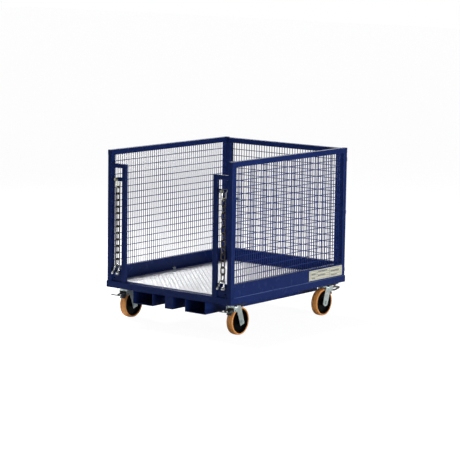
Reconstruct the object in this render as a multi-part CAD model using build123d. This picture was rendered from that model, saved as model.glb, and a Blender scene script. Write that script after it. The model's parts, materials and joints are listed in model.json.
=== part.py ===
from build123d import *
import os
from math import atan2, cos, degrees, hypot, radians, sin, sqrt

# Roll cage container: a steel base on four braked swivel castors, two welded mesh sides,
# a hinged mesh gate at the rear, and an open front with two short stub posts.
# Millimetres. The origin is on the floor under the middle of the base.
# +X is to the right as seen from the open front, +Y points to the rear gate, +Z is up.

os.makedirs("parts", exist_ok=True)

# ---------------------------------------------------------------- driving dimensions
CAGE_WIDTH = 1200.0          # outside the side panels
CAGE_DEPTH = 1430.0          # outside the posts, front to rear
CAGE_TOP = 1300.0            # floor to top rail
BASE_Z = 250.0               # floor to the underside of the base beams
BASE_HEIGHT = 50.0
BASE_LIP = 4.0               # the base stands proud of the panels by this much
BEAM_WIDTH = 60.0
TUBE = 40.0                  # square tube of the panels
KICK_HEIGHT = 100.0          # deep bottom rail of every panel
WALL = 2.5                   # tube wall
TUBE_RADIUS = 3.0            # outer corner radius of the tubes

WIRE = 5.0                   # mesh wire
MESH_PITCH_ACROSS = 50.0     # every second upright wire of a 25 mm mesh
MESH_PITCH_UP = 100.0        # every second level wire of a 50 mm mesh

FLOOR_THICKNESS = 4.0
FLOOR_RISE = 2.0             # floor plate top above the beams

LEDGE_REACH = 13.0           # side ledges stand this far in from the panels
LEDGE_RISE = 16.0            # and this far above the base beams
LEDGE_SHEET = 3.0
STRIP_THICKNESS = 2.0        # cover strip over the joint of the kick rail
STRIP_Y = (10.0, 30.0)
CLIP_Y = (5.0, 35.0)

STUB_OUTER = 460.0           # |x| of the stub post's side that faces the slot
STUB_INNER = 420.0
STUB_DEPTH = 25.0
STUB_TOP = 1200.0
STUB_BAR_HEIGHT = 32.0
INFILL_SHEET = 5.0
INFILL_SETBACK = 14.0
LASHING_X = 540.0            # |x| of the lashing hole in each infill
LASHING_Z = 325.0
LASHING_RADIUS = 7.0
BOSS_RADIUS = 13.0           # welded nut boss behind the hole
BOSS_LENGTH = 12.0

POCKET_CENTRE = 254.0        # |x| of a fork pocket
POCKET_WIDTH = 196.0
POCKET_HEIGHT = 100.0
POCKET_WALL = 6.0
POCKET_HALF_LENGTH = 700.0
CENTRE_BEAM_WIDTH = 78.0

GATE_GAP = 2.0               # gate stile to post
GATE_LIFT = 4.0              # gate above the base
HINGE_X = 588.0
HINGE_STANDOFF = 8.5         # hinge axis behind the posts' rear face
HINGE_HEIGHTS = (346.0, 797.0, 1207.0)
KNUCKLE_RADIUS = 7.0
KNUCKLE_LENGTH = 14.0
HINGE_PIN_RADIUS = 4.0
RUNNING_GAP = 0.05           # radial clearance of shafts in their bores

LATCH_Z = 800.0
LATCH_RADIUS = 6.0
LATCH_STANDOFF = 12.0
LATCH_TRAVEL = 30.0
KEEPER_INNER = -566.0

CHAIN_X = 510.0
CHAIN_Y = -700.0
CHAIN_LINKS = 12
LINK_WIRE_RADIUS = 5.0
LINK_CENTRE_WIDTH = 35.0
LINK_GAP = 0.1
SHACKLE_GAP = 0.3            # chain to the upper shackle
CHAIN_SLACK = 2.0            # chain to the lower shackle
UPPER_PIN_Z = 1082.0
LOWER_BOW_Z = 428.3          # wire centre of the lower shackle's bow
LOWER_PIN_Y = -726.0
SHACKLE_WIRE_RADIUS = 6.0
SHACKLE_CENTRE_WIDTH = 44.0
SHACKLE_LENGTH = 66.0        # pin axis to the wire centre of the bow
SHACKLE_EAR_RADIUS = 13.0
PIN_HEAD_RADIUS = 10.0
LUG_THICKNESS = 16.0
UPPER_LUG_HEIGHT = 28.0
LOWER_LUG_HEIGHT = 24.0
LUG_BORE_GAP = 0.5           # lug bore to shackle pin, on the radius

CASTOR_X = 520.0
CASTOR_Y = 580.0
CASTOR_TRAIL = 53.0
WHEEL_RADIUS = 105.0
WHEEL_WIDTH = 55.0
TYRE_THICKNESS = 13.0
PAD_THICKNESS = 8.0
PLATE_THICKNESS = 6.0
PLATE_LENGTH_X = 135.0
PLATE_LENGTH_Y = 110.0
BOLT_SPACING_X = 105.0
BOLT_SPACING_Y = 80.0
BOLT_RADIUS = 6.0
BALL_COUNT = 16
BALL_RADIUS = 4.0
BALL_CIRCLE = 37.0
AXLE_RADIUS = 8.0
LEG_INNER = 34.0             # |x| of the fork leg's inner face from the wheel's middle
LEG_THICKNESS = 5.0

LABEL_Y = (246.0, 676.0)
LABEL_Z = (310.0, 387.0)
LABEL_THICKNESS = 1.5

# ---------------------------------------------------------------- worked out from those
HALF_WIDTH = CAGE_WIDTH / 2
HALF_DEPTH = CAGE_DEPTH / 2
BASE_TOP = BASE_Z + BASE_HEIGHT
KICK_TOP = BASE_TOP + KICK_HEIGHT
RAIL_BOTTOM = CAGE_TOP - TUBE
BASE_HALF_X = HALF_WIDTH + BASE_LIP
BASE_HALF_Y = HALF_DEPTH + BASE_LIP
BEAM_INNER_X = BASE_HALF_X - BEAM_WIDTH
BEAM_INNER_Y = BASE_HALF_Y - BEAM_WIDTH
FLOOR_TOP = BASE_TOP + FLOOR_RISE
LEDGE_TOP = BASE_TOP + LEDGE_RISE
PANEL_INNER = HALF_WIDTH - TUBE
MESH_X = HALF_WIDTH - TUBE / 2
GATE_HALF = PANEL_INNER - GATE_GAP
GATE_BOTTOM = BASE_TOP + GATE_LIFT
GATE_TOP = CAGE_TOP - GATE_LIFT
GATE_KICK_TOP = GATE_BOTTOM + KICK_HEIGHT
HINGE_Y = HALF_DEPTH + HINGE_STANDOFF
PAD_BOTTOM = BASE_Z - PAD_THICKNESS
PLATE_BOTTOM = PAD_BOTTOM - PLATE_THICKNESS
UPPER_BOW_Z = UPPER_PIN_Z - SHACKLE_LENGTH
LOWER_PIN_Z = LOWER_BOW_Z - sqrt(SHACKLE_LENGTH**2 - (CHAIN_Y - LOWER_PIN_Y)**2)
CHAIN_TOP = UPPER_BOW_Z + SHACKLE_WIRE_RADIUS + SHACKLE_GAP
CHAIN_BOTTOM = LOWER_BOW_Z - SHACKLE_WIRE_RADIUS - CHAIN_SLACK
LINK_INNER_LENGTH = (CHAIN_TOP - CHAIN_BOTTOM + (CHAIN_LINKS - 1) * LINK_GAP) / CHAIN_LINKS


# ---------------------------------------------------------------- small helpers
def save(node, solids):
    """Write one node. Several solids stay separate inside it."""
    shapes = solids if isinstance(solids, list) else [solids]
    flat = []
    for shape in shapes:
        flat.extend(shape.solids())
    body = flat[0] if len(flat) == 1 else Compound(children=flat)
    export_step(body, "parts/" + node + ".step")
    print(node, len(flat))


def block(x_range, y_range, z_range):
    """A plain box from three (low, high) pairs."""
    size = [high - low for low, high in (x_range, y_range, z_range)]
    middle = [(high + low) / 2 for low, high in (x_range, y_range, z_range)]
    return Pos(*middle) * Box(*size)


def tube(x_range, y_range, z_range, along, closed=False, wall=WALL, radius=TUBE_RADIUS):
    """A rectangular hollow section. Its ends are open unless closed is set."""
    outer = block(x_range, y_range, z_range)
    long_edges = outer.edges().filter_by({"x": Axis.X, "y": Axis.Y, "z": Axis.Z}[along])
    outer = fillet(long_edges, radius)
    hollow = []
    for name, (low, high) in zip("xyz", (x_range, y_range, z_range)):
        past_the_end = -wall if closed else wall
        grow = past_the_end if name == along else -wall
        hollow.append((low - grow, high + grow))
    return outer - block(*hollow)


def cylinder_x(radius, x_range, y, z):
    length = x_range[1] - x_range[0]
    place = Pos((x_range[0] + x_range[1]) / 2, y, z) * Rot(0, 90, 0)
    return place * Cylinder(radius, length)


def cylinder_y(radius, x, y_range, z):
    length = y_range[1] - y_range[0]
    place = Pos(x, (y_range[0] + y_range[1]) / 2, z) * Rot(90, 0, 0)
    return place * Cylinder(radius, length)


def cylinder_z(radius, x, y, z_range):
    length = z_range[1] - z_range[0]
    return Pos(x, y, (z_range[0] + z_range[1]) / 2) * Cylinder(radius, length)


def side_profile(points, x_range):
    """A plate cut to an outline of (y, z) points and extruded along X."""
    outline = make_face(Polyline(*[(y, z) for y, z in points], close=True))
    standing = Plane(origin=(x_range[0], 0, 0), x_dir=(0, 1, 0), z_dir=(1, 0, 0))
    return extrude(standing * outline, x_range[1] - x_range[0])


def mirrored(shape):
    """The same piece on the other side of the cage."""
    return shape.mirror(Plane.YZ)


# ---------------------------------------------------------------- base
def base_side_beams():
    x_range = (BEAM_INNER_X, BASE_HALF_X)
    y_range = (-BASE_HALF_Y, BASE_HALF_Y)
    right = tube(x_range, y_range, (BASE_Z, BASE_TOP), "y", closed=True)
    return [right, mirrored(right)]


def base_end_beams():
    beams = []
    for y_range in ((-BASE_HALF_Y, -BEAM_INNER_Y), (BEAM_INNER_Y, BASE_HALF_Y)):
        beams.append(tube((-BEAM_INNER_X, BEAM_INNER_X), y_range, (BASE_Z, BASE_TOP), "x"))
    return beams


def base_bearers():
    """Three cross members that carry the floor plate."""
    top = FLOOR_TOP - FLOOR_THICKNESS
    bearers = []
    for y in (-BEAM_INNER_Y / 2, 0.0, BEAM_INNER_Y / 2):
        y_range = (y - BEAM_WIDTH / 2, y + BEAM_WIDTH / 2)
        bearers.append(tube((-BEAM_INNER_X, BEAM_INNER_X), y_range, (BASE_Z, top), "x"))
    return bearers


def floor_plate():
    x_range = (-BEAM_INNER_X, BEAM_INNER_X)
    y_range = (-BEAM_INNER_Y, BEAM_INNER_Y)
    return block(x_range, y_range, (FLOOR_TOP - FLOOR_THICKNESS, FLOOR_TOP))


def fork_pocket(x_middle):
    x_range = (x_middle - POCKET_WIDTH / 2, x_middle + POCKET_WIDTH / 2)
    y_range = (-POCKET_HALF_LENGTH, POCKET_HALF_LENGTH)
    z_range = (BASE_Z - POCKET_HEIGHT, BASE_Z)
    return tube(x_range, y_range, z_range, "y", wall=POCKET_WALL)


def centre_beam():
    x_range = (-CENTRE_BEAM_WIDTH / 2, CENTRE_BEAM_WIDTH / 2)
    y_range = (-POCKET_HALF_LENGTH, POCKET_HALF_LENGTH)
    return tube(x_range, y_range, (BASE_Z - POCKET_HEIGHT, BASE_Z), "y", closed=True, wall=4.0)


def floor_ledges():
    """Angles along the foot of each side panel, and the cover strip of the kick rail's joint."""
    inner = PANEL_INNER - LEDGE_REACH
    y_range = (-BEAM_INNER_Y, BEAM_INNER_Y)
    shelf = block((inner, PANEL_INNER), y_range, (LEDGE_TOP - LEDGE_SHEET, LEDGE_TOP))
    upright = block((inner, inner + LEDGE_SHEET), y_range, (BASE_TOP, LEDGE_TOP - LEDGE_SHEET))
    angle = shelf + upright
    strip_z = (LEDGE_TOP + LEDGE_SHEET, KICK_TOP)
    strip = block((PANEL_INNER - STRIP_THICKNESS, PANEL_INNER), STRIP_Y, strip_z)
    return [angle, strip, mirrored(angle), mirrored(strip)]


def floor_clips():
    """A bent clip at mid length caps each ledge where its two halves meet."""
    inner = PANEL_INNER - LEDGE_REACH
    outside = inner - LEDGE_SHEET
    top = LEDGE_TOP + LEDGE_SHEET
    upright = block((outside, inner), CLIP_Y, (BASE_TOP, top))
    hook = block((outside, PANEL_INNER), CLIP_Y, (LEDGE_TOP, top))
    clip = upright + hook
    return [clip, mirrored(clip)]


# ---------------------------------------------------------------- side panels
def side_frame():
    """The right-hand panel: two posts, a top rail and a deep kick rail."""
    x_range = (PANEL_INNER, HALF_WIDTH)
    front = tube(x_range, (-HALF_DEPTH, -HALF_DEPTH + TUBE), (BASE_TOP, RAIL_BOTTOM), "z")
    rear = tube(x_range, (HALF_DEPTH - TUBE, HALF_DEPTH), (BASE_TOP, RAIL_BOTTOM), "z")
    top = tube(x_range, (-HALF_DEPTH, HALF_DEPTH), (RAIL_BOTTOM, CAGE_TOP), "y", closed=True)
    kick = tube(x_range, (-HALF_DEPTH + TUBE, HALF_DEPTH - TUBE), (BASE_TOP, KICK_TOP), "y")
    return [front, rear, top, kick]


def mesh_sheet(width, height):
    """Welded mesh as one flat grille in the XY plane, its lower left corner at the origin."""
    columns = round(width / MESH_PITCH_ACROSS)
    rows = round(height / MESH_PITCH_UP)
    pitch_across = width / columns
    pitch_up = height / rows
    windows = []
    for column in range(columns):
        left = column * pitch_across + WIRE / 2
        right = (column + 1) * pitch_across - WIRE / 2
        for row in range(rows):
            low = row * pitch_up + WIRE / 2
            high = (row + 1) * pitch_up - WIRE / 2
            corners = [(left, low, 0), (left, high, 0), (right, high, 0), (right, low, 0)]
            windows.append(Wire.make_polygon(corners, close=True))
    corners = [(0, 0, 0), (width, 0, 0), (width, height, 0), (0, height, 0)]
    outline = Wire.make_polygon(corners, close=True)
    return extrude(Face(outline, windows), WIRE)


def side_mesh(x_middle):
    sheet = mesh_sheet(CAGE_DEPTH - 2 * TUBE, RAIL_BOTTOM - KICK_TOP)
    start = (x_middle - WIRE / 2, -HALF_DEPTH + TUBE, KICK_TOP)
    standing = Plane(origin=start, x_dir=(0, 1, 0), z_dir=(1, 0, 0))
    return standing.location * sheet


# ---------------------------------------------------------------- open front
def front_stub():
    """A short post beside the corner post, and the bar that ties their tops."""
    y_range = (-HALF_DEPTH, -HALF_DEPTH + STUB_DEPTH)
    post = tube((STUB_INNER, STUB_OUTER), y_range, (BASE_TOP, STUB_TOP), "z", closed=True)
    bar = tube((STUB_OUTER, PANEL_INNER), y_range, (STUB_TOP - STUB_BAR_HEIGHT, STUB_TOP), "x")
    return [post, bar]


def front_infills():
    """A folded plate closes the foot of each slot. Its lashing hole runs through a boss."""
    face_y = -HALF_DEPTH + INFILL_SETBACK
    x_range = (STUB_OUTER, PANEL_INNER)
    face = block(x_range, (face_y, face_y + INFILL_SHEET), (BASE_TOP, KICK_TOP))
    flange = block(x_range, (face_y, -HALF_DEPTH + STUB_DEPTH), (KICK_TOP - INFILL_SHEET, KICK_TOP))
    back_y = face_y + INFILL_SHEET
    boss = cylinder_y(BOSS_RADIUS, LASHING_X, (back_y, back_y + BOSS_LENGTH), LASHING_Z)
    hole_y = (face_y - 1.0, back_y + BOSS_LENGTH + 1.0)
    hole = cylinder_y(LASHING_RADIUS, LASHING_X, hole_y, LASHING_Z)
    right = face + flange + boss - hole
    return [right, mirrored(right)]


def chain_lugs():
    """Upper lugs are welded to the stub posts, lower lugs stand out from the infills."""
    bore = SHACKLE_WIRE_RADIUS + LUG_BORE_GAP
    half_thickness = LUG_THICKNESS / 2
    half_height = UPPER_LUG_HEIGHT / 2
    lug_y = (CHAIN_Y - half_thickness, CHAIN_Y + half_thickness)
    lug_z = (UPPER_PIN_Z - half_height, UPPER_PIN_Z + half_height)
    upper = block((STUB_OUTER, CHAIN_X), lug_y, lug_z)
    upper += cylinder_y(half_height, CHAIN_X, lug_y, UPPER_PIN_Z)
    upper -= cylinder_y(bore, CHAIN_X, (lug_y[0] - 1.0, lug_y[1] + 1.0), UPPER_PIN_Z)
    half_height = LOWER_LUG_HEIGHT / 2
    lug_x = (CHAIN_X - half_thickness, CHAIN_X + half_thickness)
    lug_z = (LOWER_PIN_Z - half_height, LOWER_PIN_Z + half_height)
    lower = block(lug_x, (LOWER_PIN_Y, -HALF_DEPTH + INFILL_SETBACK), lug_z)
    lower += cylinder_x(half_height, lug_x, LOWER_PIN_Y, LOWER_PIN_Z)
    lower -= cylinder_x(bore, (lug_x[0] - 1.0, lug_x[1] + 1.0), LOWER_PIN_Y, LOWER_PIN_Z)
    return [upper, lower, mirrored(upper), mirrored(lower)]


# ---------------------------------------------------------------- chains and shackles
def oval_ring(wire_radius, centre_width, inner_length):
    """A chain link standing in the XZ plane, its inner top at the origin."""
    bend = centre_width / 2
    straight = inner_length - 2 * (bend - wire_radius)
    top_centre = -(bend - wire_radius)
    start = Plane(origin=(bend, 0, top_centre), x_dir=(1, 0, 0), z_dir=(0, 0, 1))
    section = start * Circle(wire_radius)
    turn = Axis((0, 0, top_centre), (0, -1, 0))
    upper = revolve(section, turn, 180)
    lower = Pos(0, 0, -straight) * upper.mirror(Plane.XY.offset(top_centre))
    sides = Part()
    for x in (-bend, bend):
        sides += cylinder_z(wire_radius, x, 0, (top_centre - straight, top_centre))
    return upper + lower + sides


def chain(side):
    """Links in turn across and along the cage, the first one across."""
    links = []
    top = CHAIN_TOP
    ring = oval_ring(LINK_WIRE_RADIUS, LINK_CENTRE_WIDTH, LINK_INNER_LENGTH)
    for index in range(CHAIN_LINKS):
        links.append(Pos(side * CHAIN_X, CHAIN_Y, top) * Rot(0, 0, 90 * (index % 2)) * ring)
        top = top - LINK_INNER_LENGTH + LINK_GAP
    return links


def shackle():
    """A D shackle in the XZ plane: pin along X through the origin, bow pointing down."""
    bend = SHACKLE_CENTRE_WIDTH / 2
    bow_centre = -(SHACKLE_LENGTH - bend)
    start = Plane(origin=(bend, 0, bow_centre), x_dir=(1, 0, 0), z_dir=(0, 0, 1))
    bow = revolve(start * Circle(SHACKLE_WIRE_RADIUS), Axis((0, 0, bow_centre), (0, 1, 0)), 180)
    for side in (-1, 1):
        bow += cylinder_z(SHACKLE_WIRE_RADIUS, side * bend, 0, (bow_centre, 0))
        ear = sorted((side * (bend - SHACKLE_WIRE_RADIUS), side * (bend + SHACKLE_WIRE_RADIUS)))
        bow += cylinder_x(SHACKLE_EAR_RADIUS, ear, 0, 0)
    bow -= cylinder_x(SHACKLE_WIRE_RADIUS + RUNNING_GAP, (-60.0, 60.0), 0, 0)
    outside = bend + SHACKLE_WIRE_RADIUS
    pin = cylinder_x(SHACKLE_WIRE_RADIUS, (-outside - 3.0, outside + 1.0), 0, 0)
    pin += cylinder_x(PIN_HEAD_RADIUS, (outside + 1.0, outside + 8.0), 0, 0)
    return [bow, pin]


def upper_shackle(side):
    """Hangs from its lug with the pin along Y and the pin's head to the front."""
    place = Pos(side * CHAIN_X, CHAIN_Y, UPPER_PIN_Z) * Rot(0, 0, -90)
    return [place * piece for piece in shackle()]


def lower_shackle(side):
    """Leans back from its lug to meet the chain, with the pin along X."""
    lean = degrees(atan2(CHAIN_Y - LOWER_PIN_Y, LOWER_BOW_Z - LOWER_PIN_Z))
    place = Pos(side * CHAIN_X, LOWER_PIN_Y, LOWER_PIN_Z) * Rot(180 - lean, 0, 0)
    return [place * piece for piece in shackle()]


# ---------------------------------------------------------------- rear gate
def gate_frame():
    y_range = (HALF_DEPTH - TUBE, HALF_DEPTH)
    z_range = (GATE_BOTTOM, GATE_TOP)
    stile = tube((GATE_HALF - TUBE, GATE_HALF), y_range, z_range, "z", closed=True)
    x_range = (-GATE_HALF + TUBE, GATE_HALF - TUBE)
    top = tube(x_range, y_range, (GATE_TOP - TUBE, GATE_TOP), "x")
    kick = tube(x_range, y_range, (GATE_BOTTOM, GATE_KICK_TOP), "x")
    return [stile, mirrored(stile), top, kick]


def gate_mesh():
    sheet = mesh_sheet(2 * (GATE_HALF - TUBE), GATE_TOP - TUBE - GATE_KICK_TOP)
    start = (-GATE_HALF + TUBE, HALF_DEPTH - TUBE / 2 + WIRE / 2, GATE_KICK_TOP)
    standing = Plane(origin=start, x_dir=(1, 0, 0), z_dir=(0, -1, 0))
    return standing.location * sheet


def hinge_posts():
    """Fixed half of each lift-off hinge: a knuckle on the post and the pin that stands in it."""
    halves = []
    for z in HINGE_HEIGHTS:
        knuckle = cylinder_z(KNUCKLE_RADIUS, HINGE_X, HINGE_Y, (z - KNUCKLE_LENGTH, z))
        x_range = (HINGE_X - KNUCKLE_RADIUS, HINGE_X + KNUCKLE_RADIUS)
        web = block(x_range, (HALF_DEPTH, HINGE_Y), (z - KNUCKLE_LENGTH, z))
        pin = cylinder_z(HINGE_PIN_RADIUS, HINGE_X, HINGE_Y, (z, z + KNUCKLE_LENGTH - 4.0))
        halves.append(knuckle + web + pin)
    return halves


def hinge_straps():
    """Moving half: a strap on the gate stile that ends in the upper knuckle."""
    strap_thickness = 5.0
    post_clearance = 1.5
    halves = []
    for z in HINGE_HEIGHTS:
        low = z + 0.5
        z_range = (low, low + KNUCKLE_LENGTH)
        knuckle = cylinder_z(KNUCKLE_RADIUS, HINGE_X, HINGE_Y, z_range)
        strap_y = (HALF_DEPTH + post_clearance, HALF_DEPTH + strap_thickness)
        strap = block((GATE_HALF - TUBE, HINGE_X), strap_y, z_range)
        seat = block((GATE_HALF - TUBE, GATE_HALF), (HALF_DEPTH, HALF_DEPTH + strap_thickness), z_range)
        bore_z = (low - 1.0, low + KNUCKLE_LENGTH - 3.0)
        bore = cylinder_z(HINGE_PIN_RADIUS + RUNNING_GAP, HINGE_X, HINGE_Y, bore_z)
        halves.append(knuckle + strap + seat - bore)
    return halves


def latch_guides():
    """Back plate with two bored blocks that carry the slide bolt."""
    axis_y = HALF_DEPTH + LATCH_STANDOFF
    z_range = (LATCH_Z - 13.0, LATCH_Z + 13.0)
    guides = block((-GATE_HALF, -466.0), (HALF_DEPTH, HALF_DEPTH + 3.0), z_range)
    for x_range in ((-GATE_HALF, -548.0), (-480.0, -470.0)):
        guides += block(x_range, (HALF_DEPTH, axis_y + 9.0), (LATCH_Z - 10.0, LATCH_Z + 10.0))
    guides -= cylinder_x(LATCH_RADIUS + RUNNING_GAP, (-600.0, -440.0), axis_y, LATCH_Z)
    return guides


def latch_bolt():
    """Slide bolt drawn back. It moves towards -X into the keeper."""
    axis_y = HALF_DEPTH + LATCH_STANDOFF
    rod = cylinder_x(LATCH_RADIUS, (-GATE_HALF, -458.0 + LATCH_TRAVEL), axis_y, LATCH_Z)
    knob = cylinder_z(4.0, -508.0, axis_y, (LATCH_Z, LATCH_Z + 28.0))
    return rod + knob


def latch_keeper():
    """Three welded bars round the bolt: one above, one below and one behind."""
    bar = 6.0
    room = LATCH_RADIUS + 1.5
    x_range = (-HALF_WIDTH, KEEPER_INNER)
    outer_y = HALF_DEPTH + LATCH_STANDOFF + room
    upper = block(x_range, (HALF_DEPTH, outer_y), (LATCH_Z + room, LATCH_Z + room + bar))
    lower = block(x_range, (HALF_DEPTH, outer_y), (LATCH_Z - room - bar, LATCH_Z - room))
    back_z = (LATCH_Z - room - bar, LATCH_Z + room + bar)
    back = block(x_range, (outer_y, outer_y + bar), back_z)
    return [upper, lower, back]


# ---------------------------------------------------------------- data plate
def data_plate():
    return block((HALF_WIDTH, HALF_WIDTH + LABEL_THICKNESS), LABEL_Y, LABEL_Z)


def data_plate_rivets():
    inset = 7.0
    head = 1.5
    start = HALF_WIDTH + LABEL_THICKNESS
    rivets = []
    for y in (LABEL_Y[0] + inset, LABEL_Y[1] - inset):
        for z in (LABEL_Z[0] + inset, LABEL_Z[1] - inset):
            rivets.append(cylinder_x(3.5, (start, start + head), y, z))
    return rivets


# ---------------------------------------------------------------- castors
# One castor is drawn about its own swivel axis: the wheel trails towards +Y and the
# pedal points to -Y. Front castors keep that direction, rear castors are turned round.
CASTORS = {
    "front_left": (-CASTOR_X, -CASTOR_Y, 0),
    "front_right": (CASTOR_X, -CASTOR_Y, 0),
    "rear_left": (-CASTOR_X, CASTOR_Y, 180),
    "rear_right": (CASTOR_X, CASTOR_Y, 180),
}

CROWN_TOP = 223.4
CROWN_BOTTOM = 215.4
CROWN_RADIUS = 50.5
SKIRT_INNER = 47.5
SKIRT_TOP = 231.0
RACE_OUTER = 46.5
RACE_INNER = 27.0
RACE_DEPTH = 4.0
KINGPIN_RADIUS = 8.0
PEDAL_PIN_Y = -28.0
PEDAL_PIN_Z = 193.0
PEDAL_PIN_RADIUS = 5.0
REAR_LEG_END = 30.0


def castor_pad():
    """Mounting pad welded under the base, with tapped holes and room for the kingpin's head."""
    half_x = PLATE_LENGTH_X / 2 + 8.0
    half_y = PLATE_LENGTH_Y / 2 + 8.0
    pad = block((-half_x, half_x), (-half_y, half_y), (PAD_BOTTOM, BASE_Z))
    pad -= cylinder_z(18.0, 0, 0, (PAD_BOTTOM - 1.0, BASE_Z - 1.0))
    for x, y in bolt_places():
        pad -= cylinder_z(BOLT_RADIUS + RUNNING_GAP, x, y, (PAD_BOTTOM - 1.0, BASE_Z + 1.0))
    return pad


def bolt_places():
    half_x = BOLT_SPACING_X / 2
    half_y = BOLT_SPACING_Y / 2
    return [(-half_x, -half_y), (half_x, -half_y), (-half_x, half_y), (half_x, half_y)]


def castor_bolt(x, y):
    head_height = 8.0
    head = RegularPolygon(19.0 / sqrt(3), 6)
    bolt = Pos(x, y, PLATE_BOTTOM - head_height) * extrude(head, head_height)
    return bolt + cylinder_z(BOLT_RADIUS, x, y, (PLATE_BOTTOM - 1.0, BASE_Z - 0.2))


def castor_plate():
    plate = block(
        (-PLATE_LENGTH_X / 2, PLATE_LENGTH_X / 2),
        (-PLATE_LENGTH_Y / 2, PLATE_LENGTH_Y / 2),
        (PLATE_BOTTOM, PAD_BOTTOM),
    )
    plate = fillet(plate.edges().filter_by(Axis.Z), 12.0)
    plate += cylinder_z(RACE_OUTER, 0, 0, (PLATE_BOTTOM - RACE_DEPTH, PLATE_BOTTOM))
    plate -= cylinder_z(RACE_INNER, 0, 0, (PLATE_BOTTOM - RACE_DEPTH, PLATE_BOTTOM))
    plate -= cylinder_z(KINGPIN_RADIUS + RUNNING_GAP, 0, 0, (PLATE_BOTTOM - 1.0, PAD_BOTTOM + 1.0))
    for x, y in bolt_places():
        plate -= cylinder_z(BOLT_RADIUS + 0.5, x, y, (PLATE_BOTTOM - 1.0, PAD_BOTTOM + 1.0))
    return plate


def kingpin():
    """Riveted king pin with a head above the plate and a washer face under the crown."""
    pin = cylinder_z(KINGPIN_RADIUS, 0, 0, (CROWN_BOTTOM - 4.0, PAD_BOTTOM + 2.0))
    pin += cylinder_z(13.0, 0, 0, (PAD_BOTTOM, PAD_BOTTOM + 5.0))
    return pin + cylinder_z(13.0, 0, 0, (CROWN_BOTTOM - 6.0, CROWN_BOTTOM - 0.3))


def swivel_balls():
    height = CROWN_TOP + BALL_RADIUS + 0.3
    balls = []
    for index in range(BALL_COUNT):
        angle = radians(360.0 * index / BALL_COUNT)
        place = Pos(BALL_CIRCLE * cos(angle), BALL_CIRCLE * sin(angle), height)
        balls.append(place * Sphere(BALL_RADIUS))
    return balls


def rounded_band(start, start_half, end, end_radius):
    """Outline of a fork leg: a straight top edge that tapers to a round end (y, z)."""
    run = hypot(end[0] - start[0], end[1] - start[1])
    heading = atan2(end[1] - start[1], end[0] - start[0])
    swing = heading + radians(90)
    taper = (start_half - end_radius) / run
    left = (end[0] + end_radius * cos(swing - taper), end[1] + end_radius * sin(swing - taper))
    right = (end[0] - end_radius * cos(swing + taper), end[1] - end_radius * sin(swing + taper))
    return [(start[0] + start_half, start[1]), left, right, (start[0] - start_half, start[1])]


def leg_outline(axle, square_end):
    """A leg from the crown to the axle. Front castors have square-cut ends, rear ones round."""
    top = CROWN_TOP - 2.0
    if not square_end:
        return rounded_band((16.0, top), 31.0, axle, REAR_LEG_END)
    half = 24.0
    past_axle = 27.0
    start = (14.0, top)
    run = hypot(axle[0] - start[0], axle[1] - start[1])
    along = ((axle[0] - start[0]) / run, (axle[1] - start[1]) / run)
    across = (-along[1], along[0])
    end = (axle[0] + past_axle * along[0], axle[1] + past_axle * along[1])
    far = (end[0] + half * across[0], end[1] + half * across[1])
    near = (end[0] - half * across[0], end[1] - half * across[1])
    return [(start[0] + half + 2.0, top), far, near, (start[0] - half - 6.0, top)]


def castor_fork(square_end):
    """Crown with a dust skirt, and two pressed legs that also carry the pedal's pin."""
    fork = cylinder_z(CROWN_RADIUS, 0, 0, (CROWN_BOTTOM, CROWN_TOP))
    skirt = cylinder_z(CROWN_RADIUS, 0, 0, (CROWN_BOTTOM, SKIRT_TOP))
    skirt -= cylinder_z(SKIRT_INNER, 0, 0, (CROWN_TOP, SKIRT_TOP + 1.0))
    fork += skirt
    axle = (CASTOR_TRAIL, WHEEL_RADIUS)
    leg = leg_outline(axle, square_end)
    top = CROWN_TOP - 2.0
    wing = [(-42.0, top), (10.0, top), (4.0, 186.0), (-28.0, 182.0), (-40.0, 190.0)]
    for x_range in ((LEG_INNER, LEG_INNER + LEG_THICKNESS), (-LEG_INNER - LEG_THICKNESS, -LEG_INNER)):
        fork += side_profile(leg, x_range)
        if not square_end:
            fork += cylinder_x(REAR_LEG_END, x_range, *axle)
        fork += side_profile(wing, x_range)
    fork -= cylinder_x(AXLE_RADIUS + RUNNING_GAP, (-60.0, 60.0), *axle)
    fork -= cylinder_x(PEDAL_PIN_RADIUS + RUNNING_GAP, (-60.0, 60.0), PEDAL_PIN_Y, PEDAL_PIN_Z)
    fork -= cylinder_z(KINGPIN_RADIUS + RUNNING_GAP, 0, 0, (CROWN_BOTTOM - 1.0, CROWN_TOP + 1.0))
    return fork


def castor_axle():
    """Axle bolt with a hexagon head on one side and a nut on the other."""
    outside = LEG_INNER + LEG_THICKNESS
    axle = cylinder_x(AXLE_RADIUS, (-outside - 12.0, outside + 1.0), CASTOR_TRAIL, WHEEL_RADIUS)
    hexagon = extrude(RegularPolygon(24.0 / sqrt(3), 6), 8.0)
    for x in (outside, -outside - 8.0):
        axle += Pos(x, CASTOR_TRAIL, WHEEL_RADIUS) * Rot(0, 90, 0) * hexagon
    return axle


def wheel_profile(points):
    """Turn an outline of (distance along the axle, radius) points about the axle."""
    outline = make_face(Polyline(*points, close=True))
    turned = revolve(outline, Axis.X, 360)
    return Pos(0, CASTOR_TRAIL, WHEEL_RADIUS) * turned


def wheel_core():
    """Wheel body: rim, thin web and long hub, with the axle bore."""
    bore = AXLE_RADIUS + RUNNING_GAP
    rim = WHEEL_RADIUS - TYRE_THICKNESS - 0.1
    half = WHEEL_WIDTH / 2
    hub = LEG_INNER - 2.0
    side = [
        (hub, bore),
        (hub, 20.0),
        (hub - 5.0, 24.0),
        (9.0, 27.0),
        (9.0, 76.0),
        (half - 3.0, 81.0),
        (half - 3.0, rim),
    ]
    other = [(-x, radius) for x, radius in reversed(side)]
    return wheel_profile(side + other)


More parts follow.
